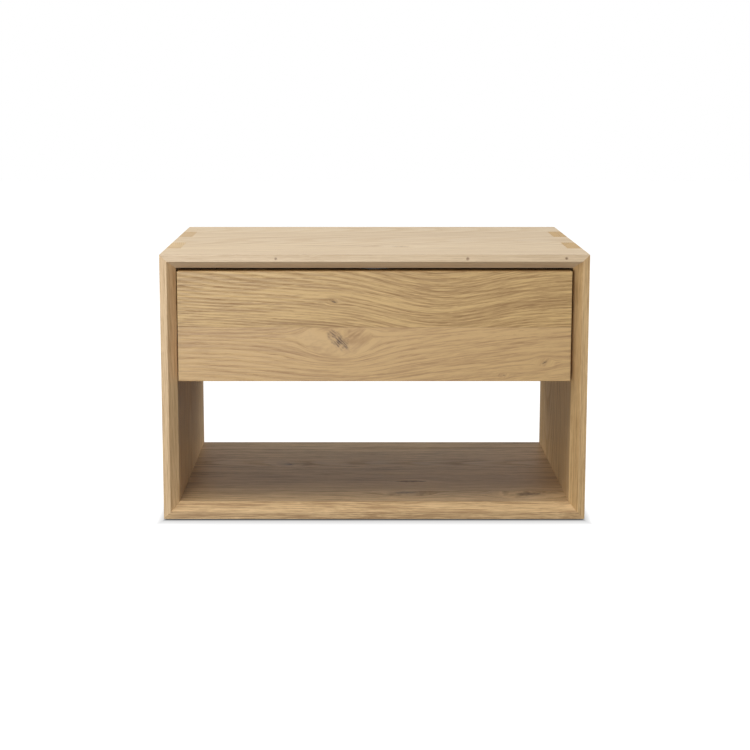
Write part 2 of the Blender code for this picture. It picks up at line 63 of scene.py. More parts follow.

# %% [markdown]
# ## Measures
#
# The case's own sizes follow from the nodes: the board thickness, the case's width, depth and height, and
# where the sides' inner faces lie. Nothing is typed in twice, so a change to the model moves the looks with
# it.

# %% Measure the case
case_low, case_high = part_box("bottom_panel")[0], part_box("top_panel")[1]
side_low, side_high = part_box("right_side_panel")
front_low, front_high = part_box("drawer_front")
BOARD = side_high.x - side_low.x
HALF_WIDTH = case_high.x
HALF_DEPTH = case_high.y
TOP = case_high.z
BOTTOM = case_low.z
INNER_X = side_low.x
print(f"case {2 * HALF_WIDTH:.3f} x {2 * HALF_DEPTH:.3f} x {TOP:.3f} m, boards {BOARD / MM:.1f} mm")

# %% [markdown]
# ## Camera
#
# A product picture of furniture is taken from a little above and straight on, with a lens long enough
# to keep the box from looking like a wedge. A small downward shift lets the camera look down less, so
# that the uprights stay nearly parallel, as they do with a view camera.

# %% Place the camera
CAMERA_PLACE = (-0.0221, -2.0532, 0.5777)
CAMERA_PITCH = math.radians(8.08)
camera_data = bpy.data.cameras.new("camera")
camera_data.sensor_width = 36
camera_data.lens = 71.2
camera_data.shift_x = 0.0236
camera_data.shift_y = -0.12
camera = bpy.data.objects.new("camera", camera_data)
camera.location = CAMERA_PLACE
camera.rotation_euler = (math.radians(90) - CAMERA_PITCH, 0, 0)
scene.collection.objects.link(camera)
scene.camera = camera
print(f"lens {camera_data.lens} mm, looking down {math.degrees(CAMERA_PITCH):.2f} degrees")

# %% [markdown]
# ## Light
#
# Pale wood needs soft light with one clear direction. A large panel high up, a little in front and to the
# left, lights the top and gives the bevels their light and dark sides. A second one stands low in front:
# it lights the faces that look forward and skims past the shelf and the walls of the bay, which stay
# deep. Weaker panels do the same for the sides and the back, and a dim white surround fills the rest.

# %% Set the lights
scene.view_settings.view_transform = "Standard"


def panel_light(name, place, aim, size, power, glossy=True):
    """A square area light at place that points at aim. Without glossy it makes no reflections."""
    data = bpy.data.lights.new(name, "AREA")
    data.size = size
    data.energy = power
    light = bpy.data.objects.new(name, data)
    light.location = place
    light.visible_glossy = glossy
    light.rotation_euler = (Vector(aim) - Vector(place)).to_track_quat("-Z", "Y").to_euler()
    scene.collection.objects.link(light)


MIDDLE = (0, 0, TOP / 2)
panel_light("overhead panel", (-0.60, -0.70, 2.40), MIDDLE, 1.5, 40)
panel_light("front panel", (-0.75, -2.95, 0.26), MIDDLE, 0.8, 57)
panel_light("left panel", (-2.4, 0.5, 0.9), MIDDLE, 1.2, 24)
panel_light("right panel", (2.4, 0.5, 0.9), MIDDLE, 1.2, 24)
panel_light("back panel", (0.2, 2.6, 0.9), MIDDLE, 1.2, 4, glossy=False)
print(len(bpy.data.lights), "panels")

# %% [markdown]
# ## Node helpers
#
# Finishes are node trees, and one tree is built at a time: it lies on the bench, where the helpers add to
# it. `fill` links or sets the inputs of a node, `node` makes one node, `calc` is a Math node, and the
# commonest sums have names of their own. `new_group` and `new_material` put a new tree on the bench.


# %% Make nodes
bench = {}


def fill(made, inputs):
    """Links each input of a node to a socket, or sets it to a number or colour."""
    for key, value in inputs.items():
        if isinstance(value, bpy.types.NodeSocket):
            bench["tree"].links.new(value, made.inputs[key])
        else:
            made.inputs[key].default_value = value


def node(kind, inputs=None, out=0, **settings):
    """Makes a node and returns one of its outputs."""
    made = bench["tree"].nodes.new("ShaderNode" + kind)
    for name, value in settings.items():
        setattr(made, name, value)
    fill(made, inputs or {})
    return made.outputs[out]


def calc(operation, *values, clamp=False):
    return node("Math", dict(enumerate(values)), operation=operation, use_clamp=clamp)


def named(operation):
    """A Math node's operation as a function of its own."""
    return lambda *values: calc(operation, *values)


plus, minus, times, over = (named(word) for word in ("ADD", "SUBTRACT", "MULTIPLY", "DIVIDE"))
times_plus, size_of = named("MULTIPLY_ADD"), named("ABSOLUTE")


def ramp(value, low, high, start=0.0, end=1.0):
    """A smooth step from start to end while value goes from low to high."""
    wanted = {"Value": value, "From Min": low, "From Max": high, "To Min": start, "To Max": end}
    return node("MapRange", wanted, interpolation_type="SMOOTHSTEP")


def mix(factor, first, second, blend="MIX"):
    """Mixes two colours. Only the sockets of the chosen data type are enabled."""
    wanted = {"Factor": factor, "A": first, "B": second}
    made = bench["tree"].nodes.new("ShaderNodeMix")
    made.data_type, made.blend_type = "RGBA", blend
    places = {made.inputs[k].name: k for k in range(len(made.inputs)) if made.inputs[k].enabled}
    fill(made, {places[name]: value for name, value in wanted.items()})
    return next(socket for socket in made.outputs if socket.enabled)


def combine(x, y, z):
    return node("CombineXYZ", {"X": x, "Y": y, "Z": z})


def separate(vector):
    split = node("SeparateXYZ", {"Vector": vector}).node
    return split.outputs["X"], split.outputs["Y"], split.outputs["Z"]


def new_group(name, inputs, outputs):
    """Makes a shader group. inputs is {name: default}, where three numbers make a vector and four a colour,
    and outputs is {name: socket type}. It returns the group, the sockets that go in, and a function that
    takes what comes out."""
    group = bench["tree"] = bpy.data.node_groups.new(name, "ShaderNodeTree")
    for label, default in inputs.items():
        kind = {3: "Vector", 4: "Color"}[len(default)] if isinstance(default, tuple) else "Float"
        socket = group.interface.new_socket(label, in_out="INPUT", socket_type="NodeSocket" + kind)
        socket.default_value = default
    for label, kind in outputs.items():
        group.interface.new_socket(label, in_out="OUTPUT", socket_type="NodeSocket" + kind)
    enter = group.nodes.new("NodeGroupInput")
    leave = group.nodes.new("NodeGroupOutput")
    return group, enter.outputs, lambda **made: fill(leave, made)


def use_group(group, inputs):
    made = bench["tree"].nodes.new("ShaderNodeGroup")
    made.node_tree = group
    fill(made, inputs)
    return made.outputs


def new_material(name):
    material = bpy.data.materials.new(name)
    material.use_nodes = True
    bench["tree"] = material.node_tree
    return material


def shade(inputs, height=None, strength=0.0, depth=0.0):
    """Fills the Principled shader's inputs, and dents the surface by height, at most depth millimetres."""
    if height:
        bump = node("Bump", {"Height": height, "Strength": strength, "Distance": depth * MM})
        inputs = {**inputs, "Normal": bump}
    fill(bench["tree"].nodes["Principled BSDF"], inputs)


def srgb(red, green, blue):
    """A colour as a picker shows it, 0 to 255, turned into the linear values that nodes hold."""
    values = [c / 255 for c in (red, green, blue)]
    return (*(c / 12.92 if c <= 0.04045 else ((c + 0.055) / 1.055) ** 2.4 for c in values), 1.0)


# %% [markdown]
# ## The floor and the surround
#
# The floor is a plain white sweep that glows for the camera, and a soft shadow of a box on small felt pads is
# painted into it: its white fades out under the case and comes back over three centimetres in front of it.


# %% Make the floor and the surround
SURROUND = 0.25  # how bright the surround is as a light
IN_GLOSS = 0.32  # and how far it turns white in reflections


def make_surround():
    world = scene.world = bpy.data.worlds.new("white surround")
    world.use_nodes = True
    tree = bench["tree"] = world.node_tree
    tree.nodes.clear()
    rays = node("LightPath").node.outputs
    seen = calc("MAXIMUM", rays["Is Camera Ray"], times(rays["Is Glossy Ray"], IN_GLOSS))
    strength = node("MapRange", {"Value": seen, "To Min": SURROUND, "To Max": 1.0})
    tint = mix(seen, (0.90, 0.95, 1.0, 1), (1, 1, 1, 1))
    background = node("Background", {"Color": tint, "Strength": strength})
    fill(tree.nodes.new("ShaderNodeOutputWorld"), {"Surface": background})


def make_floor():
    bm = bmesh.new()
    bmesh.ops.create_grid(bm, x_segments=1, y_segments=1, size=6)
    mesh = bpy.data.meshes.new("floor")
    bm.to_mesh(mesh)
    bm.free()
    floor = bpy.data.objects.new("floor", mesh)
    scene.collection.objects.link(floor)
    material = new_material("white floor with painted shadow")
    x, y, _ = separate(node("TexCoord", out="Object"))
    past_x = minus(size_of(x), HALF_WIDTH)
    past_y = minus(size_of(y), HALF_DEPTH)
    outside = calc("MAXIMUM", times(past_x, 2.2), past_y)
    # Painted shadow: the floor's emission drops to a dark core under the case and climbs back to full white
    # over about three centimetres in front of it.
    painted_shadow_core = ramp(outside, -6 * MM, 5 * MM, 0.02, 0.58)
    glow_with_painted_shadow = plus(painted_shadow_core, ramp(outside, 0.0, 30 * MM, 0.0, 0.42))
    wanted = {
        "Base Color": (0.16, 0.16, 0.16, 1),
        "Roughness": 0.9,
        "Specular IOR Level": 0.0,
        "Emission Color": (1, 1, 1, 1),
        "Emission Strength": times(glow_with_painted_shadow, node("LightPath")),
    }
    shade(wanted)
    mesh.materials.append(material)


make_surround()
make_floor()
print("surround and floor are white")

# %% [markdown]
# ## Oak: staves
#
# A solid panel is glued from staves, narrow planks side by side. Each comes from another part of the tree,
# so its tone and its rings jump at the glue line. This group tells a point which stave it is in, how far it
# is from that stave's middle, and three numbers that are the stave's own.


# %% Make the stave group
def make_stave_group():
    group, enter, give = new_group(
        "Staves",
        {"Across": 0.0, "Width": 0.1, "Start": 0.0, "Seed": 0.0},
        {"Local": "Float", "Seam": "Float", "Own": "Color"},
    )
    place = over(minus(enter["Across"], enter["Start"]), enter["Width"])
    index = calc("FLOOR", place)
    share = minus(place, index)
    give(Local=times(minus(share, 0.5), enter["Width"]))
    to_edge = calc("MINIMUM", share, minus(1.0, share))
    edge = times(to_edge, enter["Width"])
    give(Seam=ramp(edge, 0.0, 0.8 * MM, 1.0, 0.0))
    key = combine(plus(index, 0.37), enter["Seed"], 0.0)
    own = node("TexWhiteNoise", {"Vector": key}, out="Color", noise_dimensions="3D")
    give(Own=own)
    return group


STAVES = make_stave_group()
print(STAVES.name, "has", len(STAVES.nodes), "nodes")

# %% [markdown]
# ## Oak: the figure
#
# Wood is a solid stack of rings, so its figure is made as one: the distance from the pith, a line that runs
# along the grain some way behind the face. Every cut through it then looks right by itself: long waves on
# a face, straight lines on an edge, arcs on an end. `Bend` pushes the rings sideways, which knots use.
# Oak's large pores lie in the early part of a ring and show as short dark dashes along the grain, and its
# rays show as short light ones.


# %% Make the oak group
def make_oak_group():
    group, enter, give = new_group(
        "Oak",
        {
            "Grain": (0, 0, 0),
            "Bend": 0.0,
            "End": 0.0,
            "Knot": 0.0,
            "Stave Width": 0.1,
            "Stave Start": 0.0,
            "Seed": 0.0,
            "Ring Width": 0.0026,
            "Contrast": 1.0,
            "End Shade": 0.88,
            "Light": srgb(206, 172, 122),
            "Dark": srgb(150, 114, 68),
            "Blush": srgb(194, 156, 116),
            "Heart": srgb(132, 104, 80),
            "Heart Dark": srgb(72, 53, 40),
        },
        {"Color": "Color", "Roughness": "Float", "Height": "Float"},
    )
    along, across, depth = separate(enter["Grain"])
    staves = use_group(
        STAVES,
        {
            "Across": across,
            "Width": enter["Stave Width"],
            "Start": enter["Stave Start"],
            "Seed": enter["Seed"],
        },
    )
    one, two, three = separate(staves["Own"])
    seed = times(plus(one, enter["Seed"]), 9.7)

    # Where the pith is: some way to a side and behind, and not quite parallel with the board.
    aside = times(minus(two, 0.5), 0.16)
    behind = times_plus(three, 0.07, 0.028)
    lean = times(minus(one, 0.5), 0.11)
    behind = times_plus(along, lean, behind)
    local = plus(staves["Local"], enter["Bend"])

    def noise(x, y, z, scale=1.0, detail=2.0, rough=0.5):
        """Noise that is stretched by the three factors, in cycles for each metre."""
        vector = combine(times_plus(along, x, seed), times_plus(local, y, seed), times(depth, z))
        wanted = {"Vector": vector, "Scale": scale, "Detail": detail, "Roughness": rough}
        return node("TexNoise", wanted, noise_dimensions="3D")

    wave = minus(noise(2.6, 9, 9, detail=2.5), 0.5)
    sway = times(wave, 0.030)
    across_pith = plus(plus(local, aside), sway)
    depth_pith = plus(depth, behind)
    radius = calc("SQRT", plus(times(across_pith, across_pith), times(depth_pith, depth_pith)))
    uneven = times(minus(noise(9, 70, 70), 0.5), 0.9 * MM)
    count = over(plus(radius, uneven), enter["Ring Width"])
    ring = calc("FRACT", count)
    year = node("TexWhiteNoise", {"W": calc("FLOOR", count)}, out="Value", noise_dimensions="1D")
    opening = ramp(ring, 0.0, 0.16)
    closing = ramp(ring, 0.22, 0.85, 1.0, 0.0)
    early = times(opening, closing)
    line = times(early, times_plus(year, 0.75, 0.25))

    # Fibres in three sizes, from broad soft bands to single threads.
    bands = noise(3.2, 95, 95, detail=3.0)
    fibres = noise(15, 430, 430, detail=3.0, rough=0.62)
    threads = noise(52, 1300, 1300, detail=2.0, rough=0.7)
    pores = times(ramp(noise(70, 1500, 1500), 0.56, 0.70), early)
    rays = ramp(noise(48, 420, 130, detail=1.0), 0.66, 0.76)

    # On an end the fibres are seen from their tips, so their streaks all but vanish.
    streaky = times_plus(enter["End"], -0.8, 1.0)
    tone = ramp(bands, 0.28, 0.72, -0.16, 0.26)
    tone = plus(tone, ramp(fibres, 0.32, 0.70, -0.24, 0.40))
    tone = plus(tone, ramp(threads, 0.34, 0.68, -0.18, 0.24))
    tone = times_plus(line, 0.34, times(tone, streaky))
    tone = plus(tone, times(pores, 0.42))
    tone = minus(tone, times(rays, 0.34))
    tone = times(tone, enter["Contrast"])
    tone = plus(tone, times_plus(three, 0.18, 0.05))
    wood = mix(calc("ADD", tone, 0.0, clamp=True), enter["Light"], enter["Dark"])
    blush = times(ramp(two, 0.45, 1.0), 0.28)
    wood = mix(blush, wood, enter["Blush"])

    # An end drinks more oil and scatters light into its pores, so it is greyer and darker.
    end_tone = plus(ramp(threads, 0.2, 0.8, -0.07, 0.07), enter["End Shade"])
    end_tone = minus(end_tone, times(line, 0.12))
    end_wood = mix(1.0, wood, combine(end_tone, end_tone, end_tone), "MULTIPLY")
    wood = mix(enter["End"], wood, end_wood)
    seam = times(staves["Seam"], 0.22)
    wood = mix(seam, wood, srgb(110, 80, 52))
    knot_wood = mix(ramp(fibres, 0.35, 0.65), enter["Heart"], enter["Heart Dark"])
    wood = mix(enter["Knot"], wood, knot_wood)
    give(Color=wood)

    rough = times_plus(early, 0.10, 0.44)
    rough = times_plus(enter["End"], 0.12, rough)
    give(Roughness=rough)
    height = times(pores, -1.0)
    height = times_plus(line, -0.35, height)
    height = times_plus(times(fibres, streaky), 0.25, height)
    height = times_plus(staves["Seam"], -0.8, height)
    height = times_plus(enter["Knot"], -0.8, height)
    give(Height=height)
    return group


OAK = make_oak_group()
print(OAK.name, "has", len(OAK.nodes), "nodes")

# %% [markdown]
# ## Oak: knots
#
# A knot is where a branch left the trunk. The rings flow round it like water round a stone, and that
# is how the group makes them: the sideways push falls off with the square of the distance. The knot's own
# outline is roughened by noise, and its inside is dark. A knot goes through its board, and a pin is a small
# one that ends at a level.


# %% Make the knot group
def make_knot_group():
    group, enter, give = new_group(
        "Knot",
        {
            "Grain": (0, 0, 0),
            "Along": 0.0,
            "Across": 0.0,
            "Size": 0.01,
            "Stretch": 1.5,
            "Turn": 0.0,
            "Level": 0.0,
            "Pin": 0.0,
        },
        {"Bend": "Float", "Core": "Float"},
    )
    along, across, depth = separate(enter["Grain"])
    off_along = minus(along, enter["Along"])
    off_across = minus(across, enter["Across"])

    # The flow round it is wider along the grain than across.
    wide = over(off_along, 2.1)
    square = plus(times(wide, wide), times(off_across, off_across))
    flow = times(enter["Size"], 1.55)
    flow_square = times(flow, flow)
    near = calc("MINIMUM", over(flow_square, square), 1.0)
    push = times(times(off_across, near), -0.9)
    give(Bend=push)

    cosine, sine = calc("COSINE", enter["Turn"]), calc("SINE", enter["Turn"])
    long_way = plus(times(off_along, cosine), times(off_across, sine))
    short_way = minus(times(off_across, cosine), times(off_along, sine))
    ragged = node("TexNoise", {"Vector": enter["Grain"], "Scale": 210.0, "Detail": 3.0})
    long_share = over(over(long_way, enter["Stretch"]), enter["Size"])
    short_share = over(over(short_way, 0.62), enter["Size"])
    off_level = over(minus(depth, enter["Level"]), enter["Size"])
    off_level = times(off_level, enter["Pin"])
    shares = combine(long_share, short_share, off_level)
    away = node("VectorMath", {"Vector": shares}, out="Value", operation="LENGTH")
    away = plus(away, times(minus(ragged, 0.5), 1.5))
    # The inside is checked: dark strokes run the long way, with paler wood between them.
    strokes = combine(times(long_way, 90.0), times(short_way, 620.0), 0.0)
    streaks = node("TexNoise", {"Vector": strokes, "Scale": 1.0, "Detail": 2.0})
    checked = ramp(streaks, 0.38, 0.62)
    inside = ramp(away, 0.25, 1.15, 1.0, 0.0)
    strength = times_plus(checked, 0.75, 0.25)
    give(Core=times(inside, strength))
    return group


KNOT = make_knot_group()
print(KNOT.name, "has", len(KNOT.nodes), "nodes")

# %% [markdown]
# ## Oak: the finish
#
# Each panel has the same oak with its own staves, its own knots and its own direction of grain. The texture
# reads Object coordinates, turned so that its first axis runs along the grain. Where a face looks along the
# grain, it shows the wood's end.

# %% Build an oak finish
GRAIN = {
    "along x, across y": (0, 1, 2),
    "along x, across z": (0, 2, 1),
    "along z, across y": (2, 1, 0),
    "along y, across z": (1, 2, 0),
}


def turned(vector, order):
    parts = separate(vector)
    return combine(*(parts[axis] for axis in order))


def oak_finish(name, grain, seed, stave, start, knots=(), bend=None, bump=0.35, **looks):
    """A Principled finish of oak. knots are (along, across, size, stretch, turn) in metres and radians. A
    pin, which doesn't go through the board, has its level and a 1 after them."""
    material = new_material(name)
    order = GRAIN[grain]
    place = turned(node("TexCoord", out="Object"), order)
    facing = separate(turned(node("TexCoord", out="Normal"), order))[0]
    end = ramp(size_of(facing), 0.75, 0.95)
    push, core = (bend(place) if bend else 0.0), 0.0
    stave_place = over(minus(separate(place)[1], start), stave)
    for knot in knots:
        facts = dict(zip(("Along", "Across", "Size", "Stretch", "Turn", "Level", "Pin"), knot))
        made = use_group(KNOT, {"Grain": place, **facts})
        middle = math.floor((facts["Across"] - start) / stave) + 0.5
        same_stave = calc("COMPARE", stave_place, middle, 0.5)
        push = times_plus(made["Bend"], same_stave, push)
        core = calc("MAXIMUM", times(made["Core"], same_stave), core)
    staves = {"Seed": seed, "Stave Width": stave, "Stave Start": start}
    oak = use_group(OAK, {"Grain": place, "Bend": push, "Knot": core, "End": end, **staves, **looks})
    looked = {"Base Color": oak["Color"], "Roughness": oak["Roughness"]}
    shade(looked, oak["Height"], bump, 0.25)
    return material


# %% [markdown]
# ## Boards
#
# The boards' shapes are already in the model, so a board here is a copy of its node: its triangles are
# merged back into flat faces, its long edges are eased with sandpaper, which is a small round bevel, and
# its glue joints are closed up. The model leaves 0.3 mm in each joint. A real joint is pressed shut and
# sanded flush, and only a hair line shows, so each joint face moves out to leave a hair, with a tiny chamfer.


# %% Copy and ease a board
SHARP = math.radians(30)
EASED = 0.6 * MM
HAIR = 0.05 * MM
SKIN = 0.1 * MM  # a face this near the outside lies on it


def copy_node(name):
    """A bmesh of a node, with its triangles merged into flat faces."""
    bm = bmesh.new()
    bm.from_mesh(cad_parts[name].data)
    bmesh.ops.remove_doubles(bm, verts=bm.verts, dist=0.002 * MM)
    bmesh.ops.dissolve_limit(bm, angle_limit=math.radians(0.5), verts=bm.verts, edges=bm.edges)
    return bm


def convex_edges(bm, wanted):
    return [
        edge
        for edge in bm.edges
        if edge.is_manifold and edge.calc_face_angle_signed() > SHARP and wanted(edge)
    ]


def ease(bm, edges, radius, segments, clamp=True):
    """Rounds the edges, and shades only the new faces smooth, so that flat faces stay flat."""
    made = bmesh.ops.bevel(
        bm,
        geom=edges,
        affect="EDGES",
        offset=radius,
        offset_type="OFFSET",
        segments=segments,
        profile=0.5,
        material=-1,
        clamp_overlap=clamp,
    )
    for face in made["faces"]:
        face.smooth = True


def finish_piece(bm, name, body, material, replaces=()):
    """Makes a bmesh an object that rides on body, if there is one, and hides the nodes that it replaces."""
    mesh = bpy.data.meshes.new(name)
    bm.to_mesh(mesh)
    bm.free()
    mesh.materials.append(material)
    piece = bpy.data.objects.new(name, mesh)
    scene.collection.objects.link(piece)
    if body:
        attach(piece, body)
    if replaces:
        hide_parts(*replaces)
    return piece


# %% [markdown]
# Which faces are glued is a question of place: they lie in the corners of the case, and not on its skin.


# %% Close the case's joints
def is_glued(face):
    centre, normal = face.calc_center_median(), face.normal
    in_corner = abs(centre.x) > INNER_X - MM and (
        centre.z > TOP - BOARD - MM or centre.z < BOTTOM + BOARD + MM
    )
    on_skin = (
        (abs(normal.x) > 0.9 and abs(centre.x) > HALF_WIDTH - SKIN)
        or (abs(normal.y) > 0.9 and abs(centre.y) > HALF_DEPTH - SKIN)
        or (abs(normal.z) > 0.9 and not BOTTOM + SKIN < centre.z < TOP - SKIN)
    )
    return in_corner and not on_skin


def close_joints(bm, is_joint, end_axis, finger_axis, gap=0.3 * MM):
    """Moves glued faces out until a hair is left. A board ends along end_axis, and its fingers lie side by
    side along finger_axis, where each neighbour closes half of the gap."""
    glued = bm.faces.layers.int.new("glued")
    moves = {}
    for face in bm.faces:
        if not is_joint(face):
            continue
        face[glued] = 1
        normal = face.normal
        step = Vector()
        if abs(normal[finger_axis]) > 0.9:
            step[finger_axis] = math.copysign((gap - HAIR) / 2, normal[finger_axis])
        else:
            flat = abs(normal[end_axis]) > 0.9
            length = gap - HAIR if flat else (gap - HAIR) / math.sqrt(2)
            step[end_axis] = math.copysign(length, normal[end_axis])
        for vert in face.verts:
            moves.setdefault(vert, []).append(step)
    for vert, steps in moves.items():
        for step in {tuple(step) for step in steps}:
            vert.co += Vector(step)
    return glued


def joined_board(name, body, material, is_joint, end_axis, finger_axis, eased=EASED):
    """A board as it leaves the sander: joints closed, arrises eased, and a hair line along each seam."""
    bm = copy_node(name)
    glued = close_joints(bm, is_joint, end_axis, finger_axis)
    long_enough = 4 * MM

    def is_arris(edge):
        return not any(face[glued] for face in edge.link_faces) and edge.calc_length() > long_enough

    ease(bm, convex_edges(bm, is_arris), eased, 3)
    seams = convex_edges(bm, lambda edge: sum(face[glued] for face in edge.link_faces) == 1)
    ease(bm, seams, 0.12 * MM, 1, clamp=False)
    return finish_piece(bm, name + "_wood", body, material, [name])


# %% [markdown]
# ## The case
#
# The top's glue lines and small knots are placed one by one, as a maker picks which face of a panel shows.

# %% Dress the case
def wood_look(light, dark, blush, contrast, **more):
    return {"Light": srgb(*light), "Dark": srgb(*dark), "Blush": srgb(*blush), "Contrast": contrast, **more}


PALE_KNOTS = {"Heart": srgb(160, 130, 100), "Heart Dark": srgb(112, 84, 60)}
DARK_KNOTS = {"Heart": srgb(112, 86, 64), "Heart Dark": srgb(54, 38, 28)}
TOP_LOOK = wood_look((227, 203, 168), (191, 162, 125), (210, 184, 151), 0.8, **PALE_KNOTS)
SHELF_LOOK = wood_look((215, 181, 132), (156, 122, 80), (198, 165, 126), 1.3, **DARK_KNOTS)
LEFT_LOOK = wood_look((244, 211, 162), (200, 163, 115), (224, 190, 147), 1.2, **{"End Shade": 0.80})
TOP_KNOTS = [
    (0.035, -0.081, 0.0105, 1.4, 0.0),
    (0.200, -0.014, 0.0040, 4.0, 0.05),
    (-0.126, -0.1745, 0.0024, 1.0, 0.0, 0.3445, 1.0),
    (0.119, -0.1745, 0.0028, 1.0, 0.0, 0.3450, 1.0),
    (0.245, -0.1745, 0.0022, 1.0, 0.0, 0.3455, 1.0),
]
SHELF_KNOTS = [
    (0.044, -0.117, 0.0120, 1.5, 0.1),
    (0.206, -0.124, 0.0150, 1.5, 0.2),
    (0.053, -0.062, 0.0070, 4.0, 0.0),
    (-0.120, 0.029, 0.0090, 1.1, 0.0),
]
TOP_OAK = oak_finish("top oak", "along x, across y", 3.1, 0.1125, -0.135, TOP_KNOTS, **TOP_LOOK)
SHELF_OAK = oak_finish("shelf oak", "along x, across y", 8.3, 0.079, -0.109, SHELF_KNOTS, **SHELF_LOOK)
LEFT_OAK = oak_finish("left oak", "along z, across y", 5.7, 0.088, -0.175, **LEFT_LOOK)
RIGHT_OAK = oak_finish("right oak", "along z, across y", 12.9, 0.094, -0.180, **{"End Shade": 1.04})

X, Y, Z = 0, 1, 2
joined_board("top_panel", "case", TOP_OAK, is_glued, X, Y)
joined_board("bottom_panel", "case", SHELF_OAK, is_glued, X, Y)
joined_board("left_side_panel", "case", LEFT_OAK, is_glued, Z, Y)
joined_board("right_side_panel", "case", RIGHT_OAK, is_glued, Z, Y)
print(f"four boards, joints closed to {HAIR / MM:.2f} mm, arrises {EASED / MM:.1f} mm")

# %% [markdown]
# ## The drawer front
#
# The front is the piece that everyone looks at, so its figure is composed: two staves, the upper with a
# valley of rings that dips right of the middle, the lower with one large knot just under the glue line
# and rings that pass below it and then climb to the right.


# %% Compose the drawer front
FRONT_SEAM = 0.256
VALLEY_X, VALLEY_DEPTH, VALLEY_WIDTH = 0.085, 0.024, 0.095
CLIMB_FROM, CLIMB = -0.02, -0.11


def front_bend(place):
    along, across, _ = separate(place)
    share = over(minus(along, VALLEY_X), VALLEY_WIDTH)
    bell = calc("EXPONENT", times(times(share, share), -1.0))
    valley = times(bell, VALLEY_DEPTH)
    past = calc("SMOOTH_MAX", minus(along, CLIMB_FROM), 0.0, 0.06)
    climb = times(past, CLIMB)
    is_upper = calc("GREATER_THAN", across, FRONT_SEAM)
    upper = times(valley, is_upper)
    lower = times(climb, minus(1.0, is_upper))
    return plus(upper, lower)


FRONT_KNOTS = [
    (-0.047, 0.2405, 0.0140, 1.35, -0.72),
    (-0.052, 0.2895, 0.0024, 2.2, -0.3),
    (0.219, 0.2106, 0.0036, 1.5, 0.6),
    (0.167, 0.1935, 0.0022, 1.0, 0.0),
]
STAVE = 0.0725
FRONT_OAK = oak_finish(
    "drawer front oak", "along x, across z", 21.4, STAVE, FRONT_SEAM - STAVE, FRONT_KNOTS, front_bend,
    Contrast=1.05, Light=srgb(205, 170, 113),
)


def make_drawer_front():
    bm = copy_node("drawer_front")
    ease(bm, convex_edges(bm, lambda edge: edge.calc_length() > 15 * MM), 0.8 * MM, 4)
    finish_piece(bm, "drawer_front_oak", "drawer", FRONT_OAK, ["drawer_front"])


make_drawer_front()
print(f"front {(front_high.x - front_low.x) / MM:.0f} mm wide, of two staves")

# %% [markdown]
# ## The back rail of the case
#
# Behind the drawer a low board ties the two sides together. It is dowelled to them and glued under the top,
# so its ends close up against the sides as the corner joints do.


# %% Dress the back rail
def touches_case(face):
    return abs(face.normal.x) > 0.9 and abs(face.calc_center_median().x) > INNER_X - MM


BACK_OAK = oak_finish(
    "back oak", "along x, across z", 17.2, 0.083, 0.170, knots=[(0.093, 0.262, 0.0045, 1.5, 0.3)]
)
joined_board("back_panel", "case", BACK_OAK, touches_case, X, Y)
print("back rail of", BACK_OAK.name)

# %% [markdown]
# ## The drawer box
#
# The box is thin oak with finger joints at its four corners. Its wood is plainer than the front's and
# only lightly oiled, so it is paler. The fingers of the two ends show on the outside of the sides.

# %% Dress the drawer box
box_low, box_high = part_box("drawer_box_front")[0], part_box("drawer_left_side")[1]
BOX_X, BOX_FRONT, BOX_BACK = -box_low.x, box_low.y, box_high.y
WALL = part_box("drawer_box_front")[1].y - BOX_FRONT
BOX_LOOK = wood_look((222, 196, 154), (178, 146, 104), (206, 176, 138), 0.85)


def is_box_joint(face):
    centre, normal = face.calc_center_median(), face.normal
    in_corner = abs(centre.x) > BOX_X - WALL - MM and not (
        BOX_FRONT + WALL + MM < centre.y < BOX_BACK - WALL - MM
    )
    on_skin = (
        abs(centre.x) > BOX_X - SKIN
        or not BOX_FRONT + SKIN < centre.y < BOX_BACK - SKIN
        or (abs(normal.z) > 0.9 and not box_low.z + SKIN < centre.z < box_high.z - SKIN)
    )
    return in_corner and not on_skin


for index, (name, grain) in enumerate(
    {
        "drawer_box_front": "along x, across z",
        "drawer_box_back": "along x, across z",
        "drawer_left_side": "along y, across z",
        "drawer_right_side": "along y, across z",
    }.items()
):
    box_oak = oak_finish(f"drawer box oak {index + 1}", grain, 30.5 + 3.7 * index, 0.125, 0.190, **BOX_LOOK)
    end_axis = X if grain.startswith("along x") else Y
    joined_board(name, "drawer", box_oak, is_box_joint, end_axis, Z, eased=0.9 * MM)
print(f"drawer box {2 * BOX_X:.3f} x {BOX_BACK - BOX_FRONT:.3f} m, walls {WALL / MM:.0f} mm")

# %% [markdown]
# ## Plywood
#
# The drawer's bottom is birch plywood. Its face veneer is calm wood with a few soft waves, and its edge
# shows the plies: thin layers that are light where their grain runs along the edge and dark where it is
# cut across. The layers are a matter of height, so the texture reads Z.


